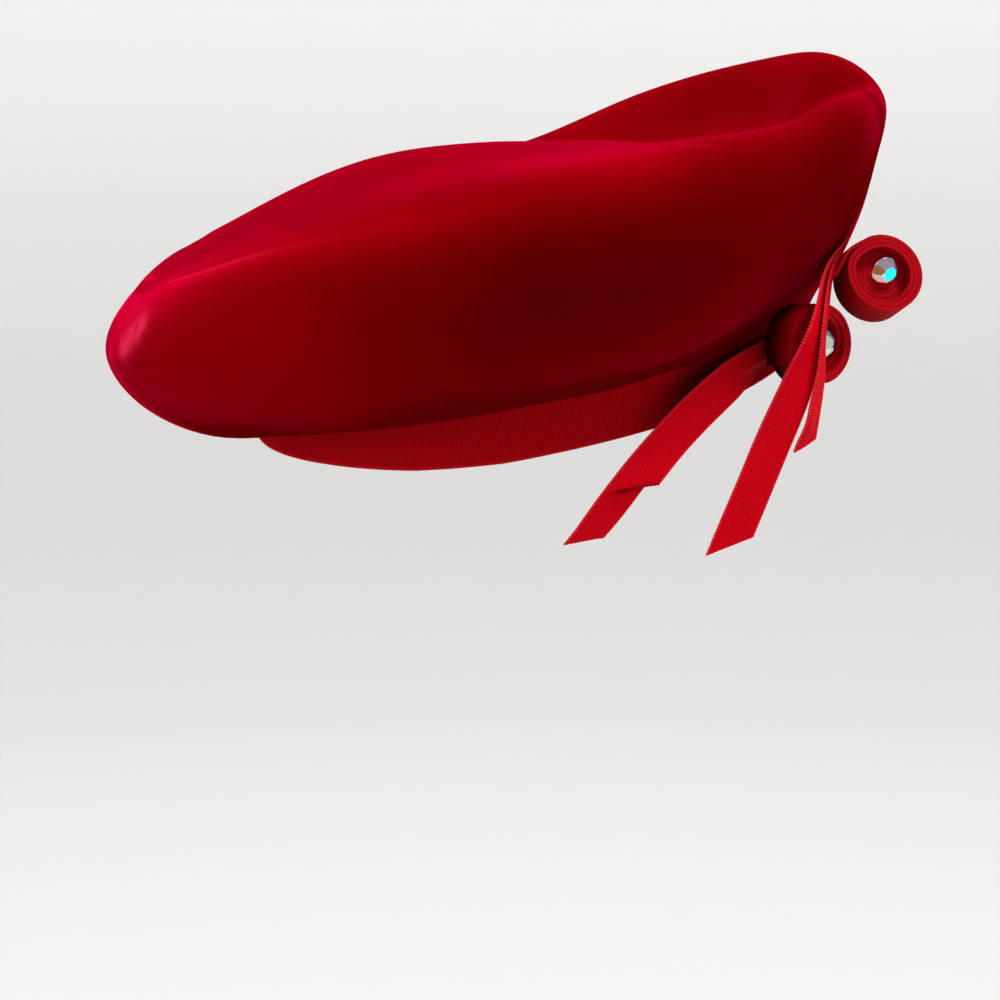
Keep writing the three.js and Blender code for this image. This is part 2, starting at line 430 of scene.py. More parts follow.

# The start is where the outer turn begins, in degrees round from the right, and the lead is the way
# there from the stitched end; shade is how dark the painted shade on the outer turn's side is
LeadRow = namedtuple("LeadRow", "right up front")
# the last column of a coil is the painted reflection on its stone's flat top
CoilPlace = namedtuple(
    "CoilPlace", "name centre facing start shade lead stone_shift stone_facing table_tint"
)
COILS = (
    CoilPlace(
        "upper",
        Vector((0.1060, -0.0580, 0.0416)),
        Vector((0.23, -0.91, 0.34)),
        112,
        0.4,
        (
            LeadRow(-0.0150, 0.0000, -0.0030),
            LeadRow(-0.0128, 0.0038, -0.0014),
            LeadRow(-0.0101, 0.0075, -0.0004),
        ),
        Vector((0.0019, 0.0010, -0.0006)),
        Vector((0.38, -0.86, -0.32)),
        (0.00, 0.92, 0.95, 1.0),
    ),
    CoilPlace(
        "lower",
        Vector((0.0862, -0.0646, 0.0206)),
        Vector((0.55, -0.83, 0.05)),
        200,
        1.0,
        (LeadRow(-0.0106, -0.0062, 0),),
        Vector((0.0010, 0.0004, -0.0006)),
        Vector((0.30, -0.94, 0.10)),
        (0.34, 0.38, 0.33, 1.0),
    ),
)

# Ribbon tails from the stitched end down: the middle of the ribbon, the turn of its face from the
# wearer's right, 0, towards the front, 90, and its tip towards the floor
TailRow = namedtuple("TailRow", "x y z turn tip")

# A soft dent or bulge: how far down the ribbon, where across it from -1 to 1, its height, its
# half length and its reach across
Dent = namedtuple("Dent", "at side height half_length reach")

# A sharp fold from the lower edge inwards: how far down the ribbon, how much further down per half
# width, its height, the length that it swells, how far the lower edge draws in past it, and where
# across the ribbon it ends
Crease = namedtuple("Crease", "at slant height half_length narrowing end")
Tail = namedtuple("Tail", "name cut_slant dents crease rows")
TAILS = (
    Tail(
        "long",
        0.75,
        (Dent(0.060, -0.6, 0.0005, 0.012, 0.8), Dent(0.085, 0.5, 0.0006, 0.010, 0.7)),
        None,
        (
            TailRow(0.0926, -0.0522, 0.0478, 84, 34),
            TailRow(0.0868, -0.0666, 0.0380, 78, 0),
            TailRow(0.0827, -0.0784, 0.0250, 62, 0),
            TailRow(0.0779, -0.0800, 0.0120, 38, 0),
            TailRow(0.0691, -0.0796, -0.0100, 20, 0),
            TailRow(0.0581, -0.0780, -0.0386, 16, 0),
        ),
    ),
    Tail(
        "short",
        0.35,
        (Dent(0.055, 0.6, 0.0012, 0.006, 0.9),),
        None,
        (
            TailRow(0.0912, -0.0560, 0.0440, 82, 20),
            TailRow(0.0879, -0.0660, 0.0364, 82, 0),
            TailRow(0.0855, -0.0736, 0.0250, 78, 0),
            TailRow(0.0844, -0.0745, 0.0104, 70, 0),
            TailRow(0.0804, -0.0740, -0.0090, 54, 0),
        ),
    ),
    Tail(
        "side",
        0.85,
        (Dent(0.008, 0.1, 0.0016, 0.010, 0.35), Dent(0.036, -0.2, 0.0008, 0.014, 0.6)),
        Crease(0.0670, 0.0058, 0.0018, 0.009, 0.0017, 0.9),
        (
            TailRow(0.0730, -0.0526, 0.0184, 48, 34),
            TailRow(0.0662, -0.0604, 0.0146, 36, 22),
            TailRow(0.0586, -0.0676, 0.0096, 26, 5),
            TailRow(0.0473, -0.0736, 0.0000, 20, 0),
            TailRow(0.0342, -0.0776, -0.0138, 16, 0),
            TailRow(0.0266, -0.0780, -0.0231, 22, 0),
            TailRow(0.0157, -0.0794, -0.0366, 42, 0),
        ),
    ),
)
TAIL_PATH_STEPS = 400
TAIL_SPARE = 0.007  # extra length that the slanted cut takes off
CREASE_STEP = 0.0012
CREASE_SHADE_LENGTH = 0.0016  # the painted shade under the crease fades over this length
ROOT_SHADE = 0.8  # how dark the painted shade is where a tail is stitched, under the brim
ROOT_SHADE_LENGTH = 0.028

# Stones
STONE_RADIUS = 0.0045
STONE_TABLE_SHARE = 0.52
STONE_HEIGHT = 0.0034
STONE_SIDES = 8
STONE_TURN = math.radians(12)
STONE_CUT = 0.0008
STONE_TABLE_FACING = 0.98  # a facet that looks this far to the front is the flat top
STONE_GLINT_AREA = 7e-7  # a facet smaller than this, in square metres, gets a pale painted glint

# Painted reflections of a stone's facets, as tints going round it from the right, and the painted
# glint of its small facets
FACET_REFLECTION_TINTS = (
    (0.13, 0.11, 0.17, 1.0),
    (0.17, 0.15, 0.23, 1.0),
    (0.24, 0.18, 0.24, 1.0),
    (0.36, 0.18, 0.08, 1.0),
    (0.95, 0.80, 0.75, 1.0),
    (1.00, 0.98, 1.00, 1.0),
    (0.70, 0.85, 0.90, 1.0),
    (0.10, 0.11, 0.20, 1.0),
)
SPARK_GLINT_TINT = (0.60, 0.56, 0.70, 1.0)

# Tints of the velvet, each pair for the low and the high of its pile or weave; the lying pile is a
# shaded copy and the standing pile a lit copy of the one velvet
SHADED_LYING_PILE = ((0.068, 0.0, 0.0002, 1.0), (0.092, 0.0, 0.0004, 1.0))
SHADED_LYING_SHEEN = (1.0, 0.0, 0.005, 1.0)
LIT_STANDING_PILE = ((0.20, 0.0, 0.0012, 1.0), (0.25, 0.0002, 0.002, 1.0))
LIT_STANDING_SHEEN = (1.0, 0.0, 0.065, 1.0)
# painted highlight tints of the crushed line and the crushed spot
CRUSHED_LINE_HIGHLIGHT_TINT = (0.75, 0.03, 0.09, 1.0)
CRUSHED_SPOT_HIGHLIGHT_TINT = (0.70, 0.03, 0.09, 1.0)
BACKING_WEAVE = ((0.05, 0.002, 0.004, 1.0), (0.13, 0.006, 0.010, 1.0))

# How fine the velvet's patches, pile and weave are: a larger scale is finer
NAP_SCALE = 30.0
PILE_SCALE = 2400.0
CRUSHED_LINE_HIGHLIGHT_SCALE = 420.0
CRUSHED_SPOT_HIGHLIGHT_SCALE = 180.0
WEAVE_SCALE = 1500.0

# Tints of the ribbons: painted shade between the ribs, painted highlight on a rib, and the edge loops
# painted lighter on each rib as a further painted highlight
RibbonTints = namedtuple("RibbonTints", "groove rib edge")
TRIM_TINTS = RibbonTints(
    (0.40, 0.0006, 0.004, 1.0), (0.72, 0.0013, 0.012, 1.0), (0.74, 0.03, 0.05, 1.0)
)
COIL_TINTS = RibbonTints(
    (0.28, 0.0004, 0.003, 1.0), (0.32, 0.0008, 0.005, 1.0), (0.38, 0.005, 0.011, 1.0)
)
BAND_TINTS = RibbonTints(
    (0.17, 0.0002, 0.001, 1.0), (0.43, 0.0008, 0.006, 1.0), (0.50, 0.006, 0.014, 1.0)
)
RIBBON_SHEEN = (1.0, 0.0, 0.03, 1.0)
# the dark of painted shade, laid on a ribbon where shade falls on it
RIBBON_PAINTED_SHADE = (0.02, 0.0, 0.0005, 1.0)
THREAD_SCALE = (0.6, 60.0, 1.0)  # along the ribbon and across it, so that threads are long
EDGE_LOOPS_LIT_START = 0.44  # from the middle of the ribbon, in widths
EDGE_LOOPS_LIT_FULL = 0.485

# Light and backdrop
SoftBox = namedtuple("SoftBox", "name place size power")
SOFT_BOXES = (
    SoftBox("light_right", (0.9, -0.5, 1.9), 0.5, 41),
    SoftBox("light_left", (-1.5, -0.9, 0.6), 0.9, 13),
    SoftBox("light_top", (-0.3, 0.3, 1.9), 1.6, 31),
)
SKY_TINT = (0.98, 0.98, 1.0, 1.0)
SKY_STRENGTH = 0.43
# the floor is painted darker than the wall, a painted shade that offsets the light pooling on it from
# above
FLOOR_PAINTED_SHADE_TINT = (0.54, 0.535, 0.525, 1.0)
WALL_TINT = (0.88, 0.875, 0.86, 1.0)
FLOOR_HEIGHT = -0.35
BACKDROP_SIDES = 96
BACKDROP_RADIUS = 3.0
BACKDROP_HEIGHT = 2.6
BACKDROP_CURVE = 2.0
BACKDROP_CURVE_STEPS = 20
BACKDROP_FADE = 0.9  # the floor's painted shade fades into the pale wall over this height


# Mesh helpers


def pick_only(piece):
    """Selects one piece alone and makes it active."""
    bpy.ops.object.select_all(action="DESELECT")
    piece.select_set(True)
    bpy.context.view_layer.objects.active = piece


def apply_modifier(piece, kind, settings):
    """Adds a modifier to a piece, sets it and applies it."""
    pick_only(piece)
    modifier = piece.modifiers.new(kind.title(), kind)
    for name, value in settings.items():
        setattr(modifier, name, value)
    bpy.ops.object.modifier_apply(modifier=modifier.name)


def points_of(piece):
    """The piece's vertices as rows of x, y and z."""
    flat = np.empty(len(piece.data.vertices) * 3)
    piece.data.vertices.foreach_get("co", flat)
    return flat.reshape(-1, 3)


def move_points(piece, points):
    """Puts the piece's vertices at these rows of x, y and z."""
    piece.data.vertices.foreach_set("co", points.astype(np.float32).ravel())
    piece.data.update()


def keep_values(piece, name, values):
    """Keeps a number for each vertex under a name that a finish can read."""
    kept = piece.data.attributes.new(name, "FLOAT", "POINT")
    kept.data.foreach_set("value", values.astype(np.float32))


def unit(rows):
    """Rows scaled to length 1."""
    return rows / np.linalg.norm(rows, axis=1, keepdims=True)


def smooth_step(share):
    """Eases a share from 0 to 1."""
    share = np.clip(share, 0, 1)
    return share * share * (3 - 2 * share)


def smooth_rows(rows, count):
    """A smooth curve through the rows, as count rows. The first three columns are a place."""
    rows = np.array(rows, float)
    steps = np.linalg.norm(np.diff(rows[:, :3], axis=0), axis=1)
    knots = np.concatenate([[0], np.cumsum(np.sqrt(steps))])
    slopes = np.gradient(rows, knots, axis=0)
    at = np.linspace(0, knots[-1], count)
    span = np.clip(np.searchsorted(knots, at, side="right") - 1, 0, len(knots) - 2)
    gap = (knots[span + 1] - knots[span])[:, None]
    t = (at - knots[span])[:, None] / gap
    start = (1 + 2 * t) * (1 - t) ** 2 * rows[span] + t * (1 - t) ** 2 * gap * slopes[span]
    end = t**2 * (3 - 2 * t) * rows[span + 1] + t**2 * (t - 1) * gap * slopes[span + 1]
    return start + end


def length_along(rows):
    """Length of the path up to each row."""
    steps = np.linalg.norm(np.diff(rows[:, :3], axis=0), axis=1)
    return np.concatenate([[0], np.cumsum(steps)])


def even_rows(rows):
    """The rows again at equal steps of length, a whole number of ribs."""
    length = length_along(rows)
    ribs = round(length[-1] / RIB_PITCH)
    at = np.linspace(0, length[-1], ribs * RIB_STEPS + 1)
    return np.stack([np.interp(at, length, column) for column in rows.T], axis=1)


def finish_piece(piece, node, slot, *materials):
    """Gives a piece its materials and puts it in the place of its solid."""
    piece.data.materials.clear()
    for material in materials:
        piece.data.materials.append(material)
    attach(piece, "root")
    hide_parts(node)


# Finishes


class Wire:
    """A shader socket that takes its place in an expression of values."""

    def __init__(self, finish, socket):
        self.finish = finish
        self.socket = socket

    def math(self, operation, first, second=0.0):
        return self.finish.node("ShaderNodeMath", {"operation": operation}, {0: first, 1: second})

    def __add__(self, other):
        return self.math("ADD", self, other)

    def __radd__(self, other):
        return self.math("ADD", other, self)

    def __sub__(self, other):
        return self.math("SUBTRACT", self, other)

    def __rsub__(self, other):
        return self.math("SUBTRACT", other, self)

    def __mul__(self, other):
        return self.math("MULTIPLY", self, other)

    def __rmul__(self, other):
        return self.math("MULTIPLY", other, self)


class Finish:
    """A material in the making: its node tree and its surface shader."""

    def __init__(self, name, constants):
        self.material = bpy.data.materials.new(name)
        self.material.use_nodes = True
        self.tree = self.material.node_tree
        self.surface = self.tree.nodes["Principled BSDF"]
        self.drive(constants)

    def node(self, kind, settings=None, inputs=None, output=0):
        """Adds a node, sets it, gives its sockets values or links, and returns one output."""
        made = self.tree.nodes.new(kind)
        for name, value in (settings or {}).items():
            setattr(made, name, value)
        for name, value in (inputs or {}).items():
            self.feed(made.inputs[name], value)
        return Wire(self, made.outputs[output])

    def feed(self, socket, value):
        """Links a wire to a socket, or sets the socket's value."""
        if isinstance(value, Wire):
            self.tree.links.new(value.socket, socket)
        else:
            socket.default_value = value

    def drive(self, inputs):
        """Feeds the surface shader's own sockets."""
        for socket, value in inputs.items():
            self.feed(self.surface.inputs[socket], value)

    def layer(self, constants, share):
        """Lays a second surface over the first, as much of it as the share says."""
        under = Wire(self, self.surface.outputs[0])
        self.surface = self.tree.nodes.new("ShaderNodeBsdfPrincipled")
        self.drive(constants)
        over = Wire(self, self.surface.outputs[0])
        both = self.node("ShaderNodeMixShader", None, {0: share, 1: under, 2: over})
        self.feed(self.tree.nodes["Material Output"].inputs["Surface"], both)

    def place(self, kind="Object"):
        """Coordinates on the piece."""
        return self.node("ShaderNodeTexCoord", output=kind)

    def kept(self, name, output="Fac"):
        """A value kept with the mesh."""
        return self.node("ShaderNodeAttribute", {"attribute_name": name}, output=output)

    def noise(self, place, scale, detail=2.0):
        """Soft noise from 0 to 1."""
        inputs = {"Vector": place, "Scale": scale, "Detail": detail}
        return self.node("ShaderNodeTexNoise", None, inputs)

    def ease(self, value, low, high):
        """A smooth rise from 0 at low to 1 at high."""
        return self.node(
            "ShaderNodeMapRange",
            {"interpolation_type": "SMOOTHSTEP"},
            {"Value": value, "From Min": low, "From Max": high},
        )

    def mix(self, share, first, second):
        """A colour between two colours."""
        return self.node("ShaderNodeMix", {"data_type": "RGBA"}, {0: share, 6: first, 7: second}, 2)

    def bump(self, height, distance, strength):
        """A surface raised by a height."""
        inputs = {"Height": height, "Distance": distance, "Strength": strength}
        return self.node("ShaderNodeBump", None, inputs)


def velvet_finish():
    """Deep red pile with painted light and shade: a shaded copy where it lies away, a lit copy bright
    at a glance where it stands, and painted highlights where it is crushed.
    """
    dull = {"Roughness": 1.0, "Specular IOR Level": 0.0}
    shaded_lying = {"Sheen Weight": 0.08, "Sheen Roughness": 0.4, "Sheen Tint": SHADED_LYING_SHEEN}
    lit_standing = {"Sheen Weight": 1.0, "Sheen Roughness": 0.36, "Sheen Tint": LIT_STANDING_SHEEN}
    finish = Finish("velvet", dull | shaded_lying)
    place = finish.place()
    nap = finish.noise(place, NAP_SCALE, 3.0)
    pile = finish.noise(place, PILE_SCALE)
    raised = finish.bump(pile, 0.0003, 0.2)
    finish.drive({"Base Color": finish.mix(pile, *SHADED_LYING_PILE), "Normal": raised})
    away = finish.kept("crease_across")
    line = 1 - finish.ease(away.math("ABSOLUTE", away), 0.2, 1.3)
    rough = 0.6 + 0.5 * finish.noise(place, CRUSHED_LINE_HIGHLIGHT_SCALE)
    # a painted highlight along the crease where the pile is crushed
    crushed_line_and_highlight = line * finish.kept("crease_crush_and_highlight") * rough
    patches = finish.ease(finish.noise(place, CRUSHED_SPOT_HIGHLIGHT_SCALE, 3.0), 0.0, 0.65)
    # a painted highlight in the crushed spot
    crushed_spot_and_highlight = finish.kept("spot_crush_and_highlight") * patches
    # painted light and shade from the nap lines, with random patches of pile
    lie_and_light = 0.5 + 0.5 * finish.kept("nap_and_painted_light") + 0.3 * (nap - 0.5)
    # a lit copy of the velvet laid over the shaded one
    finish.layer(dull | lit_standing, lie_and_light + 0.4 * crushed_line_and_highlight + crushed_spot_and_highlight)
    bright_pile = finish.mix(pile, *LIT_STANDING_PILE)
    lined = finish.mix(0.14 * crushed_line_and_highlight, bright_pile, CRUSHED_LINE_HIGHLIGHT_TINT)
    colour = finish.mix(crushed_spot_and_highlight, lined, CRUSHED_SPOT_HIGHLIGHT_TINT)
    finish.drive({"Base Color": colour, "Normal": raised})
    return finish.material


def backing_finish():
    """The dull woven back of the velvet, inside the hat."""
    finish = Finish("velvet_back", {"Roughness": 0.95, "Specular IOR Level": 0.1})
    weave = finish.noise(finish.place(), WEAVE_SCALE, 3.0)
    colour = finish.mix(weave, *BACKING_WEAVE)
    finish.drive({"Base Color": colour, "Normal": finish.bump(weave, 0.0002, 0.4)})
    return finish.material


def ribbon_finish(name, tints):
    """Ribbed ribbon: painted highlight on each rib, painted shade between, fine threads, edge loops
    lit by a painted highlight, and painted shade where it is kept.
    """
    finish = Finish(
        name,
        {
            "Roughness": 0.6,
            "Specular IOR Level": 0.01,
            "Sheen Weight": 0.1,
            "Sheen Roughness": 0.4,
            "Sheen Tint": RIBBON_SHEEN,
        },
    )
    ribbon = finish.place("UV")
    along = finish.node("ShaderNodeSeparateXYZ", None, {0: ribbon}, "X")
    across = finish.node("ShaderNodeSeparateXYZ", None, {0: ribbon}, "Y")
    rib = 0.5 + 0.5 * along.math("COSINE", 2 * math.pi * along)
    streaks = finish.node(
        "ShaderNodeVectorMath", {"operation": "MULTIPLY"}, {0: ribbon, 1: THREAD_SCALE}
    )
    thread = finish.noise(streaks, 1.0, 3.0)
    off_middle = across.math("ABSOLUTE", across - 0.5)
    edge = finish.ease(off_middle, EDGE_LOOPS_LIT_START, EDGE_LOOPS_LIT_FULL)
    # painted highlight on the ribs and painted shade in the grooves, mixed with random threads
    colour = finish.mix(0.65 * rib + 0.35 * thread, tints.groove, tints.rib)
    # a painted highlight on each rib where it meets the edge loops
    edge_loops_lit = finish.mix(edge * rib, colour, tints.edge)
    # painted shade kept with the mesh: at a tail's root and crease, on a coil's hidden side, on the
    # band beside the side tail
    shaded = finish.mix(finish.kept("painted_shade"), edge_loops_lit, RIBBON_PAINTED_SHADE)
    finish.drive({"Base Color": shaded, "Normal": finish.bump(thread, 0.00008, 0.5)})
    return finish.material


def crystal_finish():
    """Cut crystal: each facet has a painted reflection of a rainbow coat as its tint, and glows with
    it as painted light.
    """
    finish = Finish(
        "crystal",
        {
            "Roughness": 0.1,
            "Metallic": 0.2,
            "Specular IOR Level": 0.4,
            "Coat Weight": 0.1,
            "Coat Roughness": 0.02,
            "Emission Strength": 0.32,
        },
    )
    # the painted reflection tints also glow, painted light from a stone that is no lamp
    tint = finish.kept("facet_painted_reflection", "Color")
    finish.drive({"Base Color": tint, "Emission Color": tint})
    return finish.material


# Velvet shell


def seen_at(piece, row):
    """The place and normal of a piece where the camera sees it, or of its outline beside there."""
    focal = CAMERA_LENS / SENSOR_WIDTH * PHOTO_SIZE
    right = (row.across - PHOTO_SIZE / 2) / focal
    up = (PHOTO_SIZE / 2 - row.down) / focal
    aim = (right * CAMERA_RIGHT + up * CAMERA_UP - CAMERA_BACK).normalized()
    hit, place, normal, _ = piece.ray_cast(CAMERA_PLACE, aim)
    if hit:
        return place, normal
    sight = points_of(piece) - np.array(CAMERA_PLACE)
    beside = np.linalg.norm(np.cross(sight, np.array(aim)), axis=1)
    nearest = piece.data.vertices[int(beside.argmin())]
    return nearest.co, nearest.normal


def seen_path(piece, rows):
    """A smooth path over the piece: columns place, normal, amount and crush."""
    found = []
    for row in rows:
        place, normal = seen_at(piece, row)
        found.append((*place, *normal, row.amount, row.crush))
    return smooth_rows(found, FOLD_STEPS)


def nearest_steps(points, path):
    """For each point the nearest step of the path, and the distance to it."""
    tree = KDTree(len(path))
    for step, row in enumerate(path):
        tree.insert(row[:3], step)
    tree.balance()
    found = [tree.find(point)[1:] for point in points]
    return np.array([step for step, _ in found]), np.array([away for _, away in found])


def soften(piece, moves, rounds):
    """Evens out the moves of neighbouring vertices."""
    ends = np.empty(len(piece.data.edges) * 2, np.int32)
    piece.data.edges.foreach_get("vertices", ends)
    first = np.concatenate([ends[0::2], ends[1::2]])
    second = np.concatenate([ends[1::2], ends[0::2]])
    count = np.bincount(first)
    for _ in range(rounds):
        sums = np.stack([np.bincount(first, column[second]) for column in moves.T], axis=1)
        moves = (moves + sums / count[:, None]) / 2
    return moves


def move_along(piece, folds, rounds=0):
    """Swells the velvet or sinks it along lines, softened by a number of rounds."""
    points = points_of(piece)
    moves = np.zeros(points.shape)
    for fold in folds:
        path = seen_path(piece, fold.rows)
        step, away = nearest_steps(points, path)
        way = unit(path[step, 3:6]) if fold.way is None else np.array(fold.way)
        moves += way * (path[step, 6] * np.exp(-((away / fold.half_width) ** 2)))[:, None]
    move_points(piece, points + soften(piece, moves, rounds))
    bpy.context.view_layer.update()


def mark_creases(piece):
    """Keeps how far each vertex is from the nearest crease, in mm, and how crushed and lit with a
    painted highlight that is.
    """
    points = points_of(piece)
    nearest = np.full(len(points), np.inf)
    across = np.zeros(len(points))
    crush = np.zeros(len(points))
    for fold in VELVET_FOLDS:
        path = seen_path(piece, fold.rows)
        step, away = nearest_steps(points, path)
        along = unit(np.gradient(path[:, :3], axis=0))
        down = np.cross(along, unit(path[:, 3:6]))
        side = np.sign(np.sum((points - path[step, :3]) * down[step], axis=1))
        closer = (away < nearest) & (step > 0) & (step < FOLD_STEPS - 1)
        nearest[closer] = away[closer]
        across[closer] = 1000 * (side * away)[closer]
        crush[closer] = path[step, 7][closer]
    keep_values(piece, "crease_across", across)
    keep_values(piece, "crease_crush_and_highlight", crush)


def mark_pile(piece):
    """Keeps how the pile lies and where light or shade is painted at each vertex, and where it is
    crushed with a painted highlight in a spot.
    """
    points = points_of(piece)
    lie_and_light = np.zeros(len(points))
    for line in NAP_AND_LIGHT_LINES:
        path = seen_path(piece, line.rows)
        step, away = nearest_steps(points, path)
        lie_and_light += path[step, 6] * np.exp(-((away / line.half_width) ** 2))
    keep_values(piece, "nap_and_painted_light", lie_and_light)
    path = seen_path(piece, CRUSHED_SPOT_AND_HIGHLIGHT)
    step, away = nearest_steps(points, path)
    spot = path[step, 7] * np.exp(-((away / CRUSHED_SPOT_HIGHLIGHT_HALF_WIDTH) ** 2))
    keep_values(piece, "spot_crush_and_highlight", spot)


def part_inside(piece):
    """Gives the inner wall, all that the sharp edges of the hem part from the top, slot 1."""
    pick_only(piece)
    bpy.ops.object.mode_set(mode="EDIT")
    bpy.ops.mesh.select_mode(type="EDGE")
    bpy.ops.mesh.select_all(action="DESELECT")
    bpy.ops.mesh.edges_select_sharp(sharpness=HEM_ANGLE)
    bpy.ops.mesh.mark_sharp()
    bpy.ops.mesh.select_mode(type="FACE")
    bpy.ops.mesh.select_all(action="DESELECT")
    bpy.ops.object.mode_set(mode="OBJECT")
    max(piece.data.polygons, key=lambda face: face.center.z).select = True
    bpy.ops.object.mode_set(mode="EDIT")
    bpy.ops.mesh.select_linked(delimit={"SHARP"})
    bpy.ops.mesh.select_all(action="INVERT")
    bpy.ops.object.mode_set(mode="OBJECT")
    for face in piece.data.polygons:
        face.material_index = int(face.select)
    bpy.ops.object.mode_set(mode="EDIT")
    bpy.ops.mesh.select_all(action="SELECT")
    bpy.ops.mesh.mark_sharp(clear=True)
    bpy.ops.object.mode_set(mode="OBJECT")


def make_velvet():
    """The velvet shell: the solid's own mesh, merged, made of quads again, rounded and folded."""
    piece = bpy.data.objects.new("velvet_shell", frame["nodes"]["velvet_body"].data.copy())
    bpy.context.scene.collection.objects.link(piece)
    finish_piece(piece, "velvet_body", "velvet", velvet_finish(), backing_finish())
    pick_only(piece)
    bpy.ops.object.mode_set(mode="EDIT")
    bpy.ops.mesh.select_all(action="SELECT")
    bpy.ops.mesh.remove_doubles(threshold=MERGE_DISTANCE)
    bpy.ops.mesh.tris_convert_to_quads(face_threshold=math.pi, shape_threshold=math.pi)
    bpy.ops.object.mode_set(mode="OBJECT")
    part_inside(piece)
    apply_modifier(
        piece, "SUBSURF", {"levels": ROUNDING_LEVELS, "render_levels": ROUNDING_LEVELS}
    )
    bpy.context.view_layer.update()
    move_along(piece, VELVET_SWELLS, SWELL_ROUNDS)
    mark_pile(piece)
    mark_creases(piece)
    move_along(piece, VELVET_FOLDS)
    pick_only(piece)
    bpy.ops.object.shade_smooth()


# Ribbed ribbon


def ribbon_sheet(name, centre, across, width, scallop, across_steps):
    """A sheet of ribbon along its centre line, with the ribs across it as a vertex group."""
    stations = len(centre)
    bpy.ops.object.select_all(action="DESELECT")
    bpy.ops.mesh.primitive_grid_add(
        x_subdivisions=stations - 1, y_subdivisions=across_steps, size=1
    )
    piece = bpy.context.active_object
    piece.name = name
    grid = points_of(piece)
    station = np.rint((grid[:, 0] + 0.5) * (stations - 1)).astype(int)
    ridge = 0.5 + 0.5 * np.cos(2 * math.pi * station / RIB_STEPS)
    reach = grid[:, 1] * width[station] * (1 - scallop * (1 - ridge))
    move_points(piece, centre[station] + across[station] * reach[:, None])
    ribs = piece.vertex_groups.new(name="ribs")
    for weight in np.unique(ridge.round(3)):
        ribs.add(np.flatnonzero(ridge.round(3) == weight).tolist(), float(weight), "REPLACE")
    uv = piece.data.uv_layers.active.data
    flat = np.empty(len(uv) * 2)
    uv.foreach_get("uv", flat)
    flat[0::2] *= (stations - 1) / RIB_STEPS
    uv.foreach_set("uv", flat)
    return piece, station, 2 * grid[:, 1]


def thicken_ribbon(piece, thickness, groove):
    """Gives the sheet its thickness, thin between the ribs."""
    apply_modifier(
        piece,
        "SOLIDIFY",
        {
            "thickness": thickness,
            "offset": 0,
            "vertex_group": "ribs",
            "thickness_vertex_group": groove,
        },
    )
    pick_only(piece)
    bpy.ops.object.shade_smooth_by_angle(angle=RIB_ANGLE)


def cut_ribbon(piece, point, normal):
    """Cuts the ribbon straight through and takes off what lies past the cut."""
    pick_only(piece)
    bpy.ops.object.mode_set(mode="EDIT")
    bpy.ops.mesh.select_all(action="SELECT")
    bpy.ops.mesh.bisect(plane_co=point, plane_no=normal, clear_outer=True)
    bpy.ops.object.mode_set(mode="OBJECT")


def make_tail(tail, material):
    """A hanging ribbon tail with a slanted scissor cut."""
    curve = smooth_rows(tail.rows, TAIL_PATH_STEPS)
    spare = curve[-1:].copy()
    spare[:, :3] += TAIL_SPARE * unit(curve[-1:, :3] - curve[-2:-1, :3])
    path = even_rows(np.concatenate([curve, spare]))
    turn = np.radians(path[:, 3] - 90)
    tip = np.radians(path[:, 4])
    face = np.stack([np.cos(turn) * np.cos(tip), np.sin(turn) * np.cos(tip), -np.sin(tip)], axis=1)
    along = unit(np.gradient(path[:, :3], axis=0))
    out = unit(face - along * np.sum(face * along, axis=1, keepdims=True))
    across = np.cross(along, out)
    width = np.full(len(path), RIBBON_WIDTH)
    name = "ribbon_tail_" + tail.name
    centre = path[:, :3]
    piece, station, side = ribbon_sheet(
        name, centre, across, width, TAIL_SCALLOP, TAIL_ACROSS_STEPS
    )
    at = length_along(path)[station]
    # painted shade near the stitched root, where the brim shades the tail
    shade = ROOT_SHADE * smooth_step(1 - at / ROOT_SHADE_LENGTH)
    points = points_of(piece)
    for dent in tail.dents:
        down = (at - dent.at) / dent.half_length
        sideways = (side - dent.side) / dent.reach
        share = np.exp(-(down**2) - sideways**2)
        points += out[station] * dent.height * share[:, None]
    if tail.crease:
        past = at - tail.crease.at - tail.crease.slant * side
        reach = smooth_step(tail.crease.end - side)
        crease = reach * np.exp(-((past / tail.crease.half_length) ** 2))
        under = smooth_step(past / CREASE_STEP)
        points += out[station] * (tail.crease.height * crease * (1 - 2 * under))[:, None]
        drawn_in = tail.crease.narrowing * under * np.clip(-side, 0, 1)
        points += across[station] * drawn_in[:, None]
        # painted shade in the crease, under the fold's overhang
        fade = np.exp(-(((past - CREASE_STEP) / CREASE_SHADE_LENGTH) ** 2))
        shade = np.maximum(shade, reach * fade)
    keep_values(piece, "painted_shade", shade)
    move_points(piece, points)
    cut_ribbon(piece, curve[-1, :3], along[-1] - tail.cut_slant * across[-1])
    thicken_ribbon(piece, TAIL_THICKNESS, TAIL_GROOVE)
    finish_piece(piece, "tail_" + tail.name, "trim_ribbon", material)


def own_axes(facing):
    """The axes of a piece that faces this way, as rows: right, up and to the front."""
    front = facing.normalized()
    right = Vector((0, 0, 1)).cross(front).normalized()
    return np.array([right, front.cross(right), front])


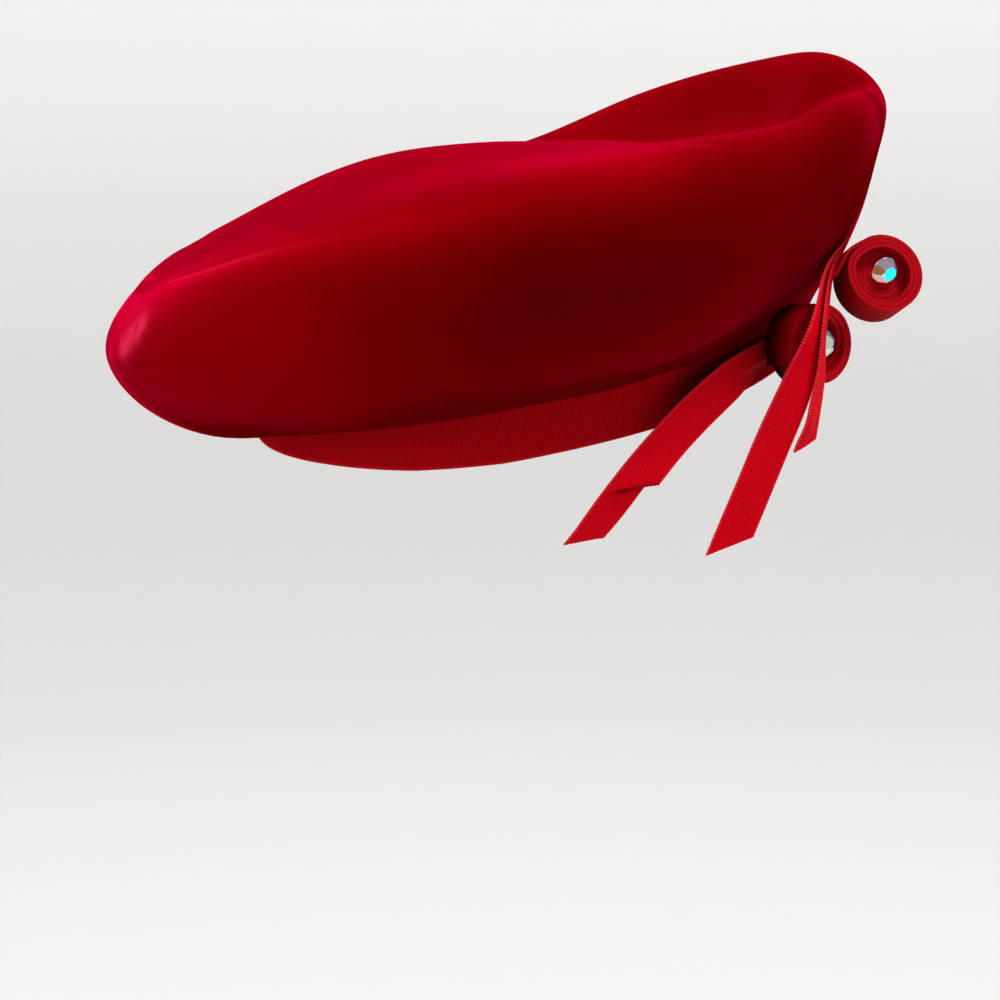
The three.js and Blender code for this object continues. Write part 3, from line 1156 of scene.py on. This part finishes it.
def make_coil(place, material):
    """A rolled ribbon coil: a stitched lead, flush outer turns, then turns set back in front."""
    turns = np.linspace(0, COIL_TURNS, COIL_PATH_STEPS)
    stepped = smooth_step((turns % 1 - COIL_ROUND_SHARE) / (1 - COIL_ROUND_SHARE))
    radius = COIL_RADIUS - COIL_THICKNESS / 2 - COIL_PITCH * (np.floor(turns) + stepped)
    inner = (turns - COIL_FRONT_TURNS) / (COIL_INNER_TURNS - COIL_FRONT_TURNS)
    front = -COIL_RECESS * smooth_step(inner)
    angle = np.radians(place.start) - 2 * math.pi * turns
    right, up = radius * np.cos(angle), radius * np.sin(angle)
    spiral = np.stack([right, up, 0 * turns, front], axis=1)
    lead = np.array([(row.right, row.up, 0, row.front) for row in place.lead])
    lead = smooth_rows(np.concatenate([lead, spiral[:1]]), COIL_LEAD_STEPS)
    path = even_rows(np.concatenate([lead, spiral[1:]]))
    width = path[:, 3] + RIBBON_WIDTH
    path[:, 2] = (path[:, 3] - RIBBON_WIDTH) / 2
    axes = own_axes(place.facing)
    centre = path[:, :3] @ axes + np.array(place.centre)
    across = np.tile(axes[2], (len(path), 1))
    name = "ribbon_coil_" + place.name
    piece, station, side = ribbon_sheet(name, centre, across, width, COIL_SCALLOP, ACROSS_STEPS)
    outer_length = length_along(lead)[-1] + 2 * math.pi * COIL_RADIUS
    outer = length_along(path)[station] < outer_length
    # painted shade on the outer turn's side, darkest at its hidden edge, where the hat shades the
    # coil
    shade = place.shade * outer * smooth_step((COIL_SHADE_SIDE - side) / 2)
    keep_values(piece, "painted_shade", shade)
    thicken_ribbon(piece, COIL_THICKNESS, COIL_GROOVE)
    finish_piece(piece, "coil_" + place.name, "trim_ribbon", material)


def make_headband(material):
    """The ribbed ribbon band round the head opening, its lower edge raised at the front."""
    angle = np.linspace(0, 2 * math.pi, BAND_PATH_STEPS)
    half_length = HEAD_HALF_LENGTH - BAND_THICKNESS / 2
    half_width = HEAD_HALF_WIDTH - BAND_THICKNESS / 2
    oval = [half_length * np.cos(angle), half_width * np.sin(angle), 0 * angle]
    path = even_rows(np.stack(oval, axis=1))
    forward = path[:, 0] / half_length
    edge = np.interp(forward, *np.array(BAND_EDGE).T)
    path[:, 2] = (edge + BAND_HEIGHT) / 2
    turned = np.array(WORN).T
    across = np.tile(turned[2], (len(path), 1))
    width = BAND_HEIGHT - edge
    piece, _, _ = ribbon_sheet(
        "ribbon_headband", path @ turned, across, width, COIL_SCALLOP, ACROSS_STEPS
    )
    bpy.context.view_layer.update()
    # a painted shadow on the band beside the side tail
    shadow_path = seen_path(piece, BAND_PAINTED_SHADOW)
    step, away = nearest_steps(points_of(piece), shadow_path)
    shade = shadow_path[step, 6] * np.exp(-((away / BAND_PAINTED_SHADOW_HALF_WIDTH) ** 2))
    keep_values(piece, "painted_shade", shade)
    pick_only(piece)
    bpy.ops.object.mode_set(mode="EDIT")
    bpy.ops.mesh.select_all(action="SELECT")
    bpy.ops.mesh.remove_doubles(threshold=BAND_SEAM_DISTANCE)
    bpy.ops.object.mode_set(mode="OBJECT")
    thicken_ribbon(piece, BAND_THICKNESS, TAIL_GROOVE)
    finish_piece(piece, "headband", "band_ribbon", material)


# Stones


def paint_facet_reflections(piece, axes, table_tint):
    """Gives each facet a painted reflection tint by the way it looks, small facets a painted glint,
    and the flat top its own painted reflection.
    """
    tints = piece.data.attributes.new("facet_painted_reflection", "FLOAT_COLOR", "FACE")
    for face in piece.data.polygons:
        right, up, front = axes @ np.array(face.normal)
        share = ((math.atan2(up, right) - STONE_TURN) / (2 * math.pi)) % 1
        tint = FACET_REFLECTION_TINTS[int(share * len(FACET_REFLECTION_TINTS))]
        if face.area < STONE_GLINT_AREA:
            tint = SPARK_GLINT_TINT
        if front > STONE_TABLE_FACING:
            tint = table_tint
        tints.data[face.index].color = tint


def make_stone(place, material):
    """A cut stone: a girdle, a crown of facets and a flat top."""
    front = place.stone_facing.normalized()
    low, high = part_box("stone_" + place.name)
    shift = Vector(np.array(place.stone_shift) @ own_axes(place.facing))
    bpy.ops.object.select_all(action="DESELECT")
    bpy.ops.mesh.primitive_cone_add(
        vertices=STONE_SIDES,
        radius1=STONE_RADIUS,
        radius2=STONE_RADIUS * STONE_TABLE_SHARE,
        depth=STONE_HEIGHT,
        location=(low + high) / 2 + shift,
        rotation=(front.to_track_quat("Z", "Y") @ Quaternion((0, 0, 1), STONE_TURN)).to_euler(),
    )
    piece = bpy.context.active_object
    piece.name = "crystal_" + place.name
    bpy.ops.object.transform_apply(location=True, rotation=True, scale=True)
    bpy.ops.object.mode_set(mode="EDIT")
    bpy.ops.mesh.select_all(action="SELECT")
    bpy.ops.mesh.bevel(offset=STONE_CUT, affect="VERTICES")
    bpy.ops.object.mode_set(mode="OBJECT")
    paint_facet_reflections(piece, own_axes(front), place.table_tint)
    finish_piece(piece, "stone_" + place.name, "crystal", material)


# Camera, light and backdrop


def add_camera():
    """The camera, on the wearer's right and a little above the hat."""
    data = bpy.data.cameras.new("camera")
    data.lens = CAMERA_LENS
    data.sensor_width = SENSOR_WIDTH
    camera = bpy.data.objects.new("camera", data)
    camera.location = CAMERA_PLACE
    camera.rotation_euler = (-CAMERA_BACK).to_track_quat("-Z", "Y").to_euler()
    bpy.context.scene.collection.objects.link(camera)
    bpy.context.scene.camera = camera


def add_soft_box(box):
    """A square soft light that looks at the hat."""
    data = bpy.data.lights.new(box.name, "AREA")
    data.size = box.size
    data.energy = box.power
    light = bpy.data.objects.new(box.name, data)
    light.location = box.place
    light.rotation_euler = (-Vector(box.place)).to_track_quat("-Z", "Y").to_euler()
    bpy.context.scene.collection.objects.link(light)


def add_backdrop():
    """A pale floor that curves up into a wall all round, the floor painted darker as painted shade
    against the light from above.
    """
    bpy.ops.object.select_all(action="DESELECT")
    bpy.ops.mesh.primitive_cylinder_add(
        vertices=BACKDROP_SIDES,
        radius=BACKDROP_RADIUS,
        depth=BACKDROP_HEIGHT,
        location=(0, 0, FLOOR_HEIGHT + BACKDROP_HEIGHT / 2),
    )
    floor = bpy.context.active_object
    floor.name = "backdrop"
    bpy.ops.object.transform_apply(location=True, rotation=True, scale=True)
    bpy.ops.object.mode_set(mode="EDIT")
    bpy.ops.mesh.select_mode(type="FACE")
    bpy.ops.mesh.select_all(action="DESELECT")
    bpy.ops.object.mode_set(mode="OBJECT")
    for face in floor.data.polygons:
        face.select = face.normal.z > 0.5
    bpy.ops.object.mode_set(mode="EDIT")
    bpy.ops.mesh.delete(type="FACE")
    bpy.ops.mesh.select_all(action="SELECT")
    bpy.ops.mesh.flip_normals()
    bpy.ops.object.mode_set(mode="OBJECT")
    curve = {"width": BACKDROP_CURVE, "segments": BACKDROP_CURVE_STEPS, "limit_method": "ANGLE"}
    apply_modifier(floor, "BEVEL", curve)
    bpy.ops.object.shade_smooth()
    paint = Finish("backdrop", {"Roughness": 0.9})
    height = paint.node("ShaderNodeSeparateXYZ", None, {0: paint.place()}, "Z")
    # painted shade on the floor, fading out up the wall
    risen = paint.ease(height, FLOOR_HEIGHT, FLOOR_HEIGHT + BACKDROP_FADE)
    paint.drive({"Base Color": paint.mix(risen, FLOOR_PAINTED_SHADE_TINT, WALL_TINT)})
    floor.data.materials.append(paint.material)


def add_world():
    """Even pale light from all round."""
    world = bpy.data.worlds.new("world")
    world.use_nodes = True
    sky = world.node_tree.nodes["Background"]
    sky.inputs["Color"].default_value = SKY_TINT
    sky.inputs["Strength"].default_value = SKY_STRENGTH
    bpy.context.scene.world = world


add_camera()
add_backdrop()
add_world()
for soft_box in SOFT_BOXES:
    add_soft_box(soft_box)
bpy.context.scene.view_settings.view_transform = "Standard"

trim_ribbon = ribbon_finish("trim_ribbon", TRIM_TINTS)
coil_ribbon = ribbon_finish("coil_ribbon", COIL_TINTS)
band_ribbon = ribbon_finish("band_ribbon", BAND_TINTS)
crystal = crystal_finish()

make_velvet()
make_headband(band_ribbon)
for hanging in TAILS:
    make_tail(hanging, trim_ribbon)
for rolled in COILS:
    make_coil(rolled, coil_ribbon)
    make_stone(rolled, crystal)
